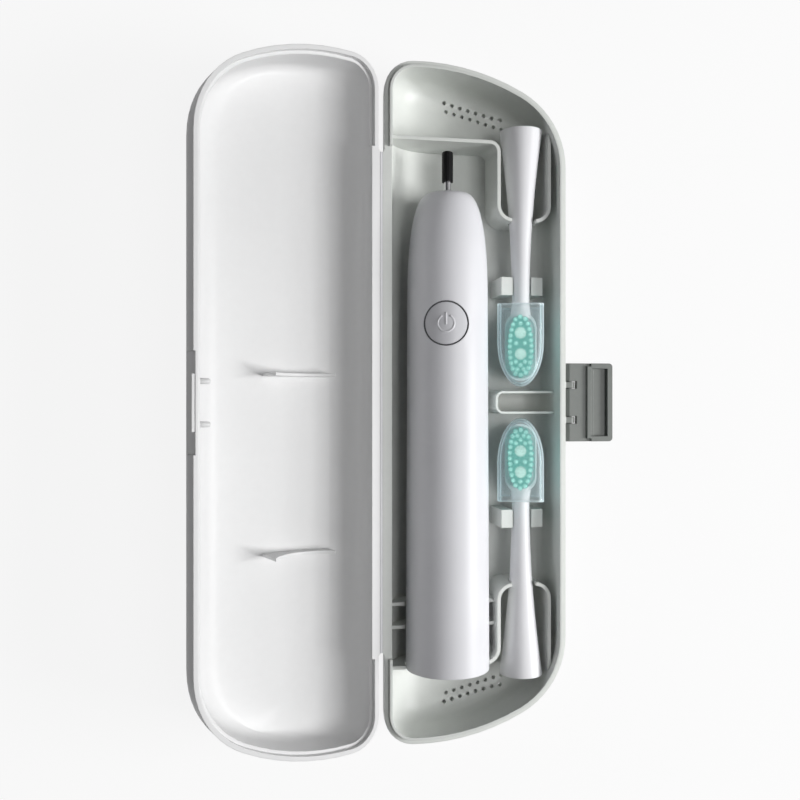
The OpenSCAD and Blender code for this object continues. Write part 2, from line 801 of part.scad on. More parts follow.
module button_gasket() {
    color([0.32, 0.32, 0.34]) in_handset() intersection() {
        under_face(face_r - ridge_sink);
        ring_at_button(collar_z, button_r + gasket_w - 0.02, button_r + fit_gap);
    }
}

module drive_shaft() {
    color([0.72, 0.72, 0.74]) in_handset()
        along_y(0, 0, nose_y - seal_bore - motor_len, nose_y + shaft_out - past, shaft_d / 2);
}

// Sleeve with a flat on its underside, which keeps a brush head from turning
module shaft_sleeve() {
    tip = nose_y + shaft_out;
    bevel = 0.4;
    flat_depth = 0.45;
    color([0.06, 0.06, 0.07]) in_handset() difference() {
        union() {
            along_y(0, 0, tip - sleeve_len, tip - bevel, sleeve_d / 2);
            translate([0, tip, 0]) rotate([90, 0, 0])
                cylinder(h = bevel, r1 = sleeve_d / 2 - bevel, r2 = sleeve_d / 2);
        }
        along_y(0, 0, tip - sleeve_len - past, tip - past + 0.1, shaft_d / 2 + 0.01);
        translate([-sleeve_d / 2, tip - sleeve_len - past, flat_depth - sleeve_d])
            cube([sleeve_d, sleeve_len - past, sleeve_d / 2]);
    }
}

module shaft_seal() {
    seal_len = 6;
    lip_back = 0.3;
    color([0.62, 0.62, 0.65]) in_handset() difference() {
        union() {
            along_y(0, 0, nose_y - seal_len, nose_y - lip_back, seal_d / 2 - 0.02);
            along_y(0, 0, nose_y - lip_back - 0.01, nose_y + lip_back, seal_d / 2 - 0.5);
        }
        along_y(0, 0, nose_y - seal_len - past, nose_y + past, shaft_d / 2 + fit_gap);
    }
}

// Works inside the handset, packed along its axis from the motor down to the cell
works_gap = 6;
post_r = 3.4;
motor_y1 = nose_y - 22;
motor_y0 = motor_y1 - motor_len;
cell_y1 = motor_y0 - works_gap;
cell_y0 = cell_y1 - cell_len;
chassis_y0 = cell_y0 - works_gap;
chassis_y1 = motor_y1 + 2;
bays = 6;
chassis_step = (chassis_y1 - chassis_y0 - bulkhead_t) / bays;

module handset_chassis() {
    bore = motor_d / 2 + fit_gap;
    window = 8;
    color([0.78, 0.80, 0.80]) in_handset() difference() {
        along_y(0, 0, chassis_y0, chassis_y1, chassis_r);
        for (i = [0:bays - 1])
            along_y(0, 0, chassis_y0 + bulkhead_t + i * chassis_step, chassis_y0 + (i + 1) * chassis_step,
                    chassis_r - chassis_wall);
        along_y(0, 0, chassis_y0 + bulkhead_t - past / 2, chassis_y1 + past, bore);
        translate([-chassis_r, chassis_y0 - past, board_z - fit_gap])
            cube([2 * chassis_r, 2 * handset_len, chassis_r]);
        translate([-window / 2, chassis_y0 + works_gap, -chassis_r - past])
            cube([window, chassis_y1 - chassis_y0 - 2 * works_gap, window / 2 + past]);
    }
    color([0.78, 0.80, 0.80]) in_handset()
        along_y(0, 0, tail_y + plug_in + plug_disc + 0.3, chassis_y0 + past / 2, post_r);
}

module motor() {
    boss_r = 4;
    boss_len = 4;
    back_plate = 1.8;
    color([0.66, 0.67, 0.70]) in_handset() difference() {
        union() {
            along_y(0, 0, motor_y0, motor_y1, motor_d / 2);
            along_y(0, 0, motor_y1 - past, motor_y1 + boss_len, boss_r);
        }
        along_y(0, 0, motor_y0 + back_plate, motor_y1 + boss_len + past, shaft_d / 2 + fit_gap);
    }
}

module battery_cell() {
    button_end_r = 2.8;
    color([0.35, 0.55, 0.40]) in_handset() {
        along_y(0, 0, cell_y0, cell_y1, cell_d / 2);
        along_y(0, 0, cell_y1 - past, cell_y1 + past, button_end_r);
    }
}

// Board under the button, with two chips on it
module circuit_board() {
    board_y0 = cell_y0 + 4;
    board_y1 = button_y + button_d;
    chip = 6;
    chip_h = 0.8;
    color([0.12, 0.42, 0.25]) in_handset() {
        translate([-board_w / 2, board_y0, board_z]) cube([board_w, board_y1 - board_y0, board_t]);
        for (i = [1, 3])
            translate([-chip / 2, board_y0 + i * chip, board_z + board_t / 2])
                cube([chip, chip, board_t / 2 + chip_h]);
    }
}

module tactile_switch() {
    body_w = 5.2;
    body_h = switch_h - 0.4;
    key_r = 1.1;
    color([0.15, 0.15, 0.16]) in_handset() translate([0, button_y, board_z + board_t]) {
        translate([-body_w / 2, -body_w / 2, 0]) cube([body_w, body_w, body_h]);
        cylinder(h = switch_h, r = key_r);
    }
}

module charging_coil() {
    coil_y = tail_y + end_bore_len + past;
    coil_t = 3.5;
    color([0.72, 0.42, 0.20]) in_handset() difference() {
        along_y(0, 0, coil_y, coil_y + coil_t, coil_d / 2);
        along_y(0, 0, coil_y - past, coil_y + coil_t + past, post_r + fit_gap);
    }
}

// Brush head: y from the funnel end to the tip, z the way the bristles point
function head_radius(y) =
    y < neck_from ? neck_d / 2 + (head_end_d - neck_d) / 2 * pow(1 - y / neck_from, 1.9) : neck_d / 2;
plate_y1 = head_len;
plate_y0 = head_len - plate_len;
plate_top = plate_t / 2 - 0.3;
plate_edge = 0.9;
field_y = plate_y1 - plate_edge - field_len / 2;
slice_t = 0.6;
pale_proud = 0.4;
coupling_r = 2.9;
coupling_y = 3.6;
coupling_len = 12;

module in_head(upper) {
    in_base() translate([head_u, upper ? head_end_y : -head_end_y, -head_sink])
        rotate([0, -head_roll, 0]) rotate([0, 0, upper ? 180 : 0]) children();
}

module stadium(w, y0, y1) {
    r = w / 2;
    translate([-r, y0 + r]) square([w, y1 - y0 - w]);
    for (y = [y0 + r, y1 - r]) translate([0, y]) circle(r);
}

module bristle_field(grow) {
    stadium(field_w + grow, field_y - (field_len + grow) / 2, field_y + (field_len + grow) / 2);
}

// Head: a turned funnel and neck, blended into a plate whose lower edge is stepped
module head_body(upper) {
    steps = 12;
    slim = neck_from + 2;
    mouth_r = 4.2;
    profile = [for (i = [0:steps]) let (y = slim * i / steps) [head_radius(y), y]];
    color(handset_white) in_head(upper) difference() {
        union() {
            turned(concat([[0, slim]], [[0, 0]], profile));
            hull() {
                along_y(0, 0, slim - past, slim, neck_d / 2, $fn = 32);
                translate([0, 0, plate_top - plate_t]) linear_extrude(plate_t - slice_t)
                    stadium(plate_w - 3 * past, plate_y0 + past, plate_y0 + plate_w + past);
            }
            translate([0, 0, plate_top - plate_t + plate_edge]) linear_extrude(plate_t - plate_edge)
                stadium(plate_w, plate_y0, plate_y1);
            translate([0, 0, plate_top - plate_t]) linear_extrude(past)
                stadium(plate_w - 2 * plate_edge, plate_y0 + plate_edge, plate_y1 - plate_edge);
        }
        translate([0, coupling_y - 0.1, 0]) rotate([90, 0, 0])
            cylinder(h = coupling_y, r1 = mouth_r, r2 = head_end_d / 2 - 1.2);
        along_y(0, 0, coupling_y - slice_t, coupling_y + coupling_len + 0.4, coupling_r + fit_gap);
        translate([0, 0, plate_top - slice_t - fit_gap]) linear_extrude(plate_t) bristle_field(2 * fit_gap);
    }
}

module head_coupling(upper) {
    color([0.55, 0.56, 0.58]) in_head(upper) difference() {
        along_y(0, 0, coupling_y, coupling_y + coupling_len, coupling_r);
        along_y(0, 0, coupling_y - slice_t, coupling_y + coupling_len - past, sleeve_d / 2 + fit_gap);
    }
}

// Centres of the tufts: an oval ring at even steps, narrower towards the neck, and three tufts inside it
tuft_r = 0.6;
tuft_edge = tuft_r + bristle_r + 0.05;
pale_y = [for (s = [-1, 1]) field_y - pale_shift + s * pale_pitch / 2];
inner_x = 1.45;
inner_y = 6.4;
function part_power(v, p) = sign(v) * pow(abs(v), p);
function oval(a) = [
    (field_w / 2 - tuft_edge) * (0.93 + 0.07 * sin(a)) * part_power(cos(a), 0.8),
    field_y + (field_len / 2 - tuft_edge) * sin(a)
];
oval_run = [for (a = 0, run = 0; a <= 360; run = run + norm(oval(a + 3) - oval(a)), a = a + 3) [run, a]];
oval_len = oval_run[len(oval_run) - 1][0];
green_tufts = concat(
    [for (i = [0:ring_tufts - 1]) oval(lookup(oval_len * i / ring_tufts, oval_run))],
    [[-inner_x, field_y - pale_shift], [inner_x, field_y - pale_shift], [0, field_y + inner_y]]
);

// Strands of one tuft: one in the middle and rings of them round it
module tuft(c, r, ring, rings) {
    translate(c) circle(bristle_r, $fn = 3);
    for (k = [1:rings]) for (i = [0:ring * k - 1]) let (a = 360 * i / (ring * k))
        translate(c + r * k / rings * [cos(a), sin(a)]) circle(bristle_r, $fn = 3);
}

module green_bristles(upper) {
    color(mint) in_head(upper) {
        translate([0, 0, plate_top - slice_t]) linear_extrude(slice_t) difference() {
            bristle_field(0);
            for (y = pale_y) translate([0, y]) circle(pale_r + fit_gap);
        }
        translate([0, 0, plate_top - slice_t / 2]) linear_extrude(bristle_h + slice_t / 2)
            for (c = green_tufts) tuft(c, tuft_r, 5, 1);
    }
}

module pale_bristles(upper) {
    color(pale_mint) in_head(upper) {
        translate([0, 0, plate_top - slice_t]) linear_extrude(slice_t)
            for (y = pale_y) translate([0, y]) circle(pale_r);
        translate([0, 0, plate_top - slice_t / 2]) linear_extrude(bristle_h + slice_t / 2 + pale_proud)
            for (y = pale_y) tuft([0, y], pale_r - bristle_r - 0.1, 5, 3);
    }
}

// Cap: a long box with a rounded nose and an open back, lofted level by level from its floor to its roof
cap_y1 = head_len + cap_tip_space;
cap_y0 = cap_y1 - cap_len;
cap_low = -max(neck_d / 2, plate_t - plate_top) - seat_gap - cap_wall;
cap_room = 0.8;
cap_high = plate_top + bristle_h + pale_proud + cap_room + cap_wall;
cap_floor_r = 1.6;
nose_steps = 16;
floor_steps = 3;
roof_steps = 4;

module cap_form(inset, open) {
    a = cap_w / 2 - inset;
    nose = cap_nose - inset;
    bend = cap_y1 - cap_nose;
    low_r = cap_floor_r - inset / 2;
    top_r = cap_top_r - inset / 2;
    levels = concat(
        [for (i = [0:floor_steps]) let (a = 90 * i / floor_steps)
            [cap_low + inset + low_r * (1 - cos(a)), low_r * (1 - sin(a))]],
        [for (i = [0:roof_steps]) let (a = 90 * i / roof_steps)
            [cap_high - inset - top_r * (1 - sin(a)), top_r * (1 - cos(a))]]
    );
    rings = [
        for (level = levels) let (w = a - level[1], long = nose - level[1])
        each concat(
            [[-w, cap_y0 - open, level[0]], [w, cap_y0 - open, level[0]]],
            [
                for (j = [0:nose_steps]) let (t = 180 * j / nose_steps)
                    [w * cos(t), bend + long * sin(t), level[0]]
            ]
        )
    ];
    n = nose_steps + 3;
    last = len(levels) - 1;
    polyhedron(
        points = rings,
        faces = concat(
            [[for (j = [0:n - 1]) j]],
            [for (k = [0:last - 1]) for (j = [0:n - 1])
                let (p = k * n + j, q = k * n + (j + 1) % n) each [[p, p + n, q + n], [p, q + n, q]]],
            [[for (j = [n - 1:-1:0]) last * n + j]]
        ),
        convexity = 4
    );
}

module head_cap(upper) {
    color(cap_blue) in_head(upper) difference() {
        cap_form(0, 0);
        cap_form(cap_wall, 1);
    }
}

module upper_head_body() { head_body(true); }
module upper_head_green_bristles() { green_bristles(true); }
module upper_head_pale_bristles() { pale_bristles(true); }
module upper_head_coupling() { head_coupling(true); }
module upper_head_cap() { head_cap(true); }
module lower_head_body() { head_body(false); }
module lower_head_green_bristles() { green_bristles(false); }
module lower_head_pale_bristles() { pale_bristles(false); }
module lower_head_coupling() { head_coupling(false); }
module lower_head_cap() { head_cap(false); }

base_shell();
lid_shell();
film_hinge();
latch();
handset_housing();
handset_end_cap();
end_cap_seal();
power_button();
button_gasket();
drive_shaft();
shaft_sleeve();
shaft_seal();
handset_chassis();
motor();
battery_cell();
circuit_board();
tactile_switch();
charging_coil();
upper_head_body();
upper_head_green_bristles();
upper_head_pale_bristles();
upper_head_coupling();
upper_head_cap();
lower_head_body();
lower_head_green_bristles();
lower_head_pale_bristles();
lower_head_coupling();
lower_head_cap();
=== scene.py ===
# %% [markdown]
# # A travel case for an electric toothbrush
# The case lies open on a pale surface and is seen almost straight from above.
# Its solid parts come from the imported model, which is the frame of this scene, in metres.
# Here they get their finishes.
# The soft bristles, the power mark, the lid's pegs, the light and the camera are made here too.

import math
import random

import bpy
from mathutils import Matrix, Vector


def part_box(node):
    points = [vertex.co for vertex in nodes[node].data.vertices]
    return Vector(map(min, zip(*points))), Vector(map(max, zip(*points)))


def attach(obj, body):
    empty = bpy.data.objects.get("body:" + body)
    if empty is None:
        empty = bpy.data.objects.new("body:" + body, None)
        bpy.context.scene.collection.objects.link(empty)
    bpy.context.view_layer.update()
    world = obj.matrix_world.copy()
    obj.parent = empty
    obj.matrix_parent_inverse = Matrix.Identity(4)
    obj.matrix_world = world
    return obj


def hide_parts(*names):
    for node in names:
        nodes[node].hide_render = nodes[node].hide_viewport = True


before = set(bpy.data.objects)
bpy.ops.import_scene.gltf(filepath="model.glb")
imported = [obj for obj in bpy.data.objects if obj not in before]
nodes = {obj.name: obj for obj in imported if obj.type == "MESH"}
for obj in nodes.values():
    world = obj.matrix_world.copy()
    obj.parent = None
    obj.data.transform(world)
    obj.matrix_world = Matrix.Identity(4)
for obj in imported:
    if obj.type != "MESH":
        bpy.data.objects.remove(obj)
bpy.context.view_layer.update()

# %% [markdown]
# ## The camera
# The photograph looks down on the tray from a little to the left of the hinge.
# Its distance and tilt follow from the outlines of the two halves, which shrink with depth.
# The camera's three axes are written out from the tilt, which is easier to check than angles.

# %% Place the camera
tilt = math.radians(9.9)  # how far it looks to the right of straight down
camera_place = Vector((-0.07539, 0.00082, 0.30218))
camera_data = bpy.data.cameras.new("photo_camera")
camera_data.lens = 39.24
camera_data.sensor_width = 36
camera_data.clip_start = 0.01
camera = bpy.data.objects.new("photo_camera", camera_data)
bpy.context.scene.collection.objects.link(camera)
right = Vector((math.cos(tilt), 0, math.sin(tilt)))
up = Vector((0, 1, 0))
back = Vector((-math.sin(tilt), 0, math.cos(tilt)))
turn = Matrix((right, up, back)).transposed().to_4x4()
camera.matrix_world = Matrix.Translation(camera_place) @ turn
bpy.context.scene.camera = camera
print("camera stands", round(1000 * camera_place.z), "mm above the table")

# %% [markdown]
# ## Writing shader maths as expressions
# A material is a small graph of nodes, and long graphs are hard to read as code.
# The class below wraps one output socket, so that `1 - mask` adds the Math node that does it.
# Only numbers go through it, because a Math node would turn a colour grey.

# %% Wrap a socket
class Reading:
    """One output socket of a material; the usual operators on it add Math nodes."""

    def __init__(self, finish, socket):
        self.finish = finish
        self.socket = socket

    def maths(self, operation, first, second=0.0, clamp=False):
        return self.finish.add(
            "ShaderNodeMath",
            {"operation": operation, "use_clamp": clamp},
            {0: first, 1: second},
        )

    def __add__(self, other):
        return self.maths("ADD", self, other)

    def __radd__(self, other):
        return self.maths("ADD", other, self)

    def __sub__(self, other):
        return self.maths("SUBTRACT", self, other)

    def __rsub__(self, other):
        return self.maths("SUBTRACT", other, self)

    def __mul__(self, other):
        return self.maths("MULTIPLY", self, other)

    def __rmul__(self, other):
        return self.maths("MULTIPLY", other, self)

    def __truediv__(self, other):
        return self.maths("DIVIDE", self, other)

    def __rtruediv__(self, other):
        return self.maths("DIVIDE", other, self)

    def __abs__(self):
        return self.maths("ABSOLUTE", self)

    def clamped(self):
        return self.maths("ADD", self, 0.0, clamp=True)

    def sine(self):
        return self.maths("SINE", self)

    def rise(self, low, high):
        """0 below low and 1 above high, with a smooth step between."""
        return self.finish.add(
            "ShaderNodeMapRange",
            {"interpolation_type": "SMOOTHSTEP"},
            {"Value": self, "From Min": low, "From Max": high},
        )


print("operators ready on", Reading.__name__)

# %% [markdown]
# ## One way to add a node
# Every other node comes from the method `add` below.
# It takes a node's type, its settings, and a value or a link for each socket that needs one.
# The settings come first, because some of them change which sockets the node has.
# The same class serves materials and the world, as both are trees of nodes.

# %% Wrap a tree of nodes
class Graph:
    """A tree of shader nodes, with one method that adds to it."""

    def __init__(self, tree):
        self.tree = tree

    def feed(self, socket, value):
        if isinstance(value, Reading):
            self.tree.links.new(value.socket, socket)
        elif socket.type == "RGBA" and len(value) == 3:
            socket.default_value = (*value, 1.0)
        else:
            socket.default_value = value

    def add(self, kind, settings=None, inputs=None, output=0):
        node = self.tree.nodes.new(kind)
        for key, value in (settings or {}).items():
            setattr(node, key, value)
        for key, value in (inputs or {}).items():
            self.feed(node.inputs[key], value)
        return Reading(self, node.outputs[output])


print("nodes are added with", Graph.add.__name__)

# %% [markdown]
# ## A material
# Each finish of the case is one material round a Principled shader.
# Values that are the same all over are set on the shader's own sockets when it is made.
# The methods give the few patterns that all the finishes share: drifts, flecks and fine relief.

# %% Wrap a material
class Finish(Graph):
    """One procedural material round a Principled shader."""

    def __init__(self, name, constants):
        self.material = bpy.data.materials.new(name)
        self.material.use_nodes = True
        super().__init__(self.material.node_tree)
        self.shader = self.tree.nodes["Principled BSDF"]
        for key, value in constants.items():
            self.shader.inputs[key].default_value = value

    def set(self, **values):
        for key, value in values.items():
            self.feed(self.shader.inputs[key.replace("_", " ")], value)

    def place(self):
        """The point on the piece, in metres, which rides with the piece."""
        return self.add("ShaderNodeTexCoord", output="Object")

    def along(self, point, axis):
        return self.add("ShaderNodeSeparateXYZ", None, {0: point}, output="XYZ".index(axis))

    def noise(self, point, scale, detail=3.0, roughness=0.5):
        return self.add(
            "ShaderNodeTexNoise",
            None,
            {"Vector": point, "Scale": scale, "Detail": detail, "Roughness": roughness},
        )

    def stretched(self, point, scales):
        """The point with its axes scaled, so that a noise read there runs long or short."""
        inputs = {"Vector": point, "Scale": scales}
        return self.add("ShaderNodeMapping", {"vector_type": "POINT"}, inputs)

    def blend(self, mask, first, second):
        """A colour between two, where mask goes from 0 to 1."""
        inputs = {0: mask, 6: first, 7: second}
        return self.add("ShaderNodeMix", {"data_type": "RGBA"}, inputs, output=2)

    def relief(self, height, depth, softened=0.0):
        """Small relief on the surface: depth is in metres, and softened rounds the edges."""
        inputs = {"Height": height, "Distance": depth, "Strength": 1.0}
        if softened:
            inputs["Normal"] = self.add("ShaderNodeBevel", {"samples": 4}, {"Radius": softened})
        self.set(Normal=self.add("ShaderNodeBump", None, inputs))


print("finishes can be made")

# %% [markdown]
# ## Moulded plastic
# Case, lid and latch are injection moulded, with a fine satin texture from the mould.
# The colour is nearly even, so what tells plastic from paper is a faint drift of tone,
# a slightly uneven gloss and the soft edges that every moulding has.
# A bevel in the normal rounds the edges in the light, and leaves the solid as it is.
# The two lugs that carry the latch are part of the base. From just past the rim they are painted
# the latch's dark grey, as painted shade.

# %% Make the satin mouldings
# The latch's dark grey is painted shade, and the lugs past the rim share it.
latch_shade_tone = (0.21, 0.225, 0.21)


def moulding(name, pale, deep, gloss, grain, softened=0.00035, shade_beyond=None, mirror=0.42):
    finish = Finish(name, {"Specular IOR Level": mirror, "IOR": 1.49})
    point = finish.place()
    drift = finish.noise(point, 22.0, 2.0)
    fleck = finish.noise(point, 420.0, 4.0, 0.6)
    rub = finish.noise(finish.stretched(point, (260.0, 18.0, 260.0)), 1.0, 3.0, 0.55)
    marks = rub.rise(0.62, 0.74)
    tone = (drift * 0.7 + fleck * 0.3).rise(0.3, 0.7)
    colour = finish.blend(tone, deep, pale)
    # Past the rim the base is painted the latch's grey, as painted shade on the lugs.
    if shade_beyond:
        shaded_lugs = finish.along(point, "X").rise(shade_beyond, shade_beyond + 0.0003)
        colour = finish.blend(shaded_lugs, colour, latch_shade_tone)
    finish.set(
        Base_Color=colour,
        Roughness=gloss + drift * 0.08 - marks * 0.05,
    )
    finish.relief(finish.noise(point, 3200.0, 2.0) + marks * 0.15, grain, softened)
    return finish.material


latch_low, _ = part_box("latch")
tray_edge = latch_low.x - 0.0001
fine_grain = 0.000012
lid_plastic = moulding(
    "lid_plastic", (0.79, 0.79, 0.79), (0.76, 0.76, 0.76), 0.34, fine_grain, mirror=0.22
)
tray_plastic = moulding(
    "tray_plastic", (0.79, 0.81, 0.78), (0.74, 0.76, 0.73), 0.34, fine_grain, shade_beyond=tray_edge
)
latch_plastic = moulding("latch_plastic", latch_shade_tone, (0.175, 0.19, 0.178), 0.28, 0.000010)
film_plastic = moulding("film_plastic", (0.80, 0.80, 0.82), (0.72, 0.72, 0.74), 0.38, 0.000008, 0.0)
print("mouldings:", lid_plastic.name, tray_plastic.name, latch_plastic.name, film_plastic.name)

# %% [markdown]
# ## Handset and brush heads
# The handset has a finer, silkier skin than the case, slightly cool in tone.
# The brush heads are of the same plastic, a little glossier, and painted a little paler than the
# handset, as painted light that lifts their shaded sides.
# The button is a shade darker, and a soft dark ring seals it.

# %% Make the handset's finishes
def skin(name, pale, deep, gloss, coat, softened=0.0003):
    finish = Finish(name, {"Specular IOR Level": 0.4, "Coat Roughness": 0.3})
    point = finish.place()
    drift = finish.noise(point, 35.0, 2.0)
    grain = finish.noise(point, 5200.0, 2.0)
    wiped = finish.noise(finish.stretched(point, (90.0, 14.0, 90.0)), 1.0, 2.0)
    finish.set(
        Base_Color=finish.blend(drift.rise(0.35, 0.65), deep, pale),
        Roughness=gloss + wiped * 0.10,
        Coat_Weight=coat + wiped * 0.05,
    )
    finish.relief(grain, 0.000006, softened)
    return finish.material


handset_skin = skin("handset_skin", (0.83, 0.83, 0.86), (0.80, 0.80, 0.83), 0.38, 0.02)
# The heads' paler white is painted light.
head_skin = skin("head_skin", (0.88, 0.88, 0.90), (0.85, 0.85, 0.87), 0.36, 0.03)
button_skin = skin("button_skin", (0.74, 0.74, 0.77), (0.71, 0.71, 0.74), 0.30, 0.05)
mark_skin = skin("mark_skin", (0.78, 0.78, 0.81), (0.74, 0.74, 0.77), 0.30, 0.0, 0.0)


def rubber(name, pale, deep):
    finish = Finish(name, {"Specular IOR Level": 0.3})
    point = finish.place()
    dust = finish.noise(point, 900.0, 4.0)
    finish.set(Base_Color=finish.blend(dust, deep, pale), Roughness=0.55 + dust * 0.15)
    finish.relief(dust, 0.00001)
    return finish.material


dark_rubber = rubber("dark_rubber", (0.09, 0.09, 0.10), (0.05, 0.05, 0.06))
ring_rubber = rubber("ring_rubber", (0.15, 0.15, 0.16), (0.11, 0.11, 0.12))
grey_rubber = rubber("grey_rubber", (0.42, 0.42, 0.45), (0.34, 0.34, 0.37))
print("handset finishes ready")

# %% [markdown]
# ## Steel shaft and ribbed sleeve
# The drive shaft is ground steel, so its fine lines run round it.
# The black sleeve is ribbed along its length, to grip the brush head.
# The ribs come from the angle round the shaft's axis: its sine goes up and down once for each rib.

# %% Make the shaft's finishes
shaft_low, shaft_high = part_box("drive_shaft")
shaft_axis = (shaft_low + shaft_high) / 2
sleeve_ribs = 22.0

steel = Finish("ground_steel", {"Metallic": 1.0})
point = steel.place()
lines = steel.noise(steel.stretched(point, (30.0, 9000.0, 30.0)), 1.0, 2.0)
steel.set(
    Base_Color=steel.blend(lines, (0.52, 0.52, 0.53), (0.68, 0.68, 0.69)),
    Roughness=0.24 + lines * 0.14,
)
steel.relief(lines, 0.000004)

sleeve = Finish("ribbed_sleeve", {"Specular IOR Level": 0.2})
point = sleeve.place()
angle = sleeve.add(
    "ShaderNodeMath",
    {"operation": "ARCTAN2"},
    {0: sleeve.along(point, "X") - shaft_axis.x, 1: sleeve.along(point, "Z") - shaft_axis.z},
)
ribs = (angle * sleeve_ribs).sine()
# The grooves between the ribs are painted darker than the crests, as painted shade.
sleeve.set(
    Base_Color=sleeve.blend(ribs.rise(-1.0, 1.0), (0.002, 0.002, 0.002), (0.010, 0.010, 0.011)),
    Roughness=0.34 + sleeve.noise(point, 1500.0) * 0.15,
)
sleeve.relief(ribs, 0.00003)
print("shaft axis at", [round(1000 * v, 1) for v in shaft_axis])

# %% [markdown]
# ## Clear caps
# Each cap is a thin wall of clear, slightly blue plastic.
# Seen square on it hides little, and seen along the wall it looks milky and bright.
# At its edges the colour is lightened, as a painted highlight. There the rounded normal of a bevel
# differs from the true one.
# The two masks together feed the opacity.

# %% Make the clear plastic
cap_edge_band = 0.0016
clear = Finish("clear_cap_plastic", {"IOR": 1.45, "Specular IOR Level": 0.6})
point = clear.place()
edge_on = clear.add("ShaderNodeLayerWeight", None, {"Blend": 0.42}, output="Facing")
haze = clear.noise(point, 160.0, 2.0)
rounded_normal = clear.add("ShaderNodeBevel", {"samples": 6}, {"Radius": cap_edge_band})
true_normal = clear.add("ShaderNodeNewGeometry", output="Normal")
agreement = clear.add(
    "ShaderNodeVectorMath",
    {"operation": "DOT_PRODUCT"},
    {0: rounded_normal, 1: true_normal},
    output="Value",
)
edge_highlight = (1 - agreement).rise(0.01, 0.20)
milky = (0.16 + haze * 0.05 + edge_on.rise(0.10, 0.5) * 0.5 + edge_highlight * 0.4).clamped()
clear.set(
    # The paler colour at the edges is a painted highlight.
    Base_Color=clear.blend((edge_highlight + haze * 0.3).clamped(), (0.66, 0.82, 0.86), (0.86, 0.96, 0.99)),
    Roughness=0.08 + haze * 0.08,
    Alpha=milky,
)
clear.relief(haze, 0.00004)
print("cap plastic ready")

# %% [markdown]
# ## Hidden works
# Inside the closed handset lie the motor, the cell and the board.
# They never show while it is whole, but each has its own finish for a view with the housing off.

# %% Make the finishes of the works
def works_finish(name, pale, deep, scale, roughness, metallic=0.0):
    finish = Finish(name, {"Metallic": metallic})
    spots = finish.noise(finish.place(), scale, 3.0)
    finish.set(Base_Color=finish.blend(spots, deep, pale), Roughness=roughness + spots * 0.1)
    finish.relief(spots, 0.00001)
    return finish.material


works = {
    "handset_chassis": works_finish(
        "chassis_plastic", (0.62, 0.66, 0.68), (0.55, 0.59, 0.61), 300.0, 0.45
    ),
    "motor": works_finish(
        "motor_can", (0.62, 0.62, 0.64), (0.50, 0.50, 0.52), 700.0, 0.30, 1.0
    ),
    "battery_cell": works_finish(
        "cell_wrap", (0.10, 0.32, 0.16), (0.07, 0.26, 0.12), 60.0, 0.25
    ),
    "circuit_board": works_finish(
        "solder_mask", (0.02, 0.18, 0.07), (0.01, 0.11, 0.04), 900.0, 0.35
    ),
    "tactile_switch": works_finish(
        "switch_body", (0.04, 0.04, 0.05), (0.02, 0.02, 0.03), 900.0, 0.45
    ),
    "charging_coil": works_finish(
        "coil_copper", (0.62, 0.25, 0.10), (0.48, 0.16, 0.05), 2600.0, 0.30, 1.0
    ),
    "upper_head_coupling": works_finish(
        "bush_plastic", (0.40, 0.41, 0.43), (0.33, 0.34, 0.36), 900.0, 0.45
    ),
}
works["lower_head_coupling"] = works["upper_head_coupling"]
print("works finished:", len(works))

# %% [markdown]
# ## Smooth shading on the solids
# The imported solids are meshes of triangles, and a curved wall of them would look cut.
# Joining their corners and smoothing across all but the sharp edges gives even curves.
# Both are modifiers, so the solid itself keeps every point.

# %% Dress the solids
def dress(name, material, sharp=32.0):
    piece = nodes[name]
    mesh = piece.data
    if "custom_normal" in mesh.attributes:
        mesh.attributes.remove(mesh.attributes["custom_normal"])
    mesh.polygons.foreach_set("use_smooth", [True] * len(mesh.polygons))
    mesh.materials.clear()
    mesh.materials.append(material)
    joined = piece.modifiers.new("joined_corners", "WELD")
    joined.merge_threshold = 1e-6
    cut = piece.modifiers.new("sharp_edges", "EDGE_SPLIT")
    cut.split_angle = math.radians(sharp)
    return piece


dressed = {
    "base_shell": tray_plastic,
    "lid_shell": lid_plastic,
    "film_hinge": film_plastic,
    "latch": latch_plastic,
    "handset_housing": handset_skin,
    "handset_end_cap": handset_skin,
    "power_button": button_skin,
    "button_gasket": ring_rubber,
    "end_cap_seal": dark_rubber,
    "shaft_seal": grey_rubber,
    "drive_shaft": steel.material,
    "shaft_sleeve": sleeve.material,
    "upper_head_body": head_skin,
    "lower_head_body": head_skin,
    "upper_head_cap": clear.material,
    "lower_head_cap": clear.material,
    **works,
}
for name, material in dressed.items():
    dress(name, material)
for head in ("upper", "lower"):
    nodes[head + "_head_cap"].visible_shadow = False
print("dressed", len(dressed), "solids")

# %% [markdown]
# ## Bristles
# A tuft is a bundle of fine nylon strands set in one hole of the plate.
# An oval ring of green tufts runs round two pale round ones.
# The heads lie rolled a little, so the field is drawn flat and then turned with its head.
# The head's body is turned about its axis, so the middle of its box gives that axis.

# %% Find the two heads
head_roll = math.radians(18)
head_leaning = Vector((-math.sin(head_roll), 0, math.cos(head_roll)))
field_from_tip = 0.0115  # from the head's tip to the middle of its bristles
strand_foot = 0.0012  # heights above the head's axis
green_top = 0.0105
pale_top = 0.0109


def head_place(head, towards_tip):
    low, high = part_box(head + "_head_body")
    tip = low.y if towards_tip < 0 else high.y
    axis = Vector(((low.x + high.x) / 2, tip - towards_tip * field_from_tip, (low.z + high.z) / 2))
    return Matrix.Translation(axis) @ Matrix.Rotation(-head_roll, 4, "Y")


tip_side = {"upper": -1, "lower": 1}
places = {head: head_place(head, side) for head, side in tip_side.items()}
for head, place in places.items():
    print(head, "field's middle in mm:", [round(1000 * v, 1) for v in place.translation])

# %% [markdown]
# Each strand is a thin five-sided rod with a rounded tip, and leans a little outwards.
# The strands of a tuft sit on a spiral, which fills a circle evenly.
# They are shorter towards the edge, so each tuft is a dome and reads apart from the next.

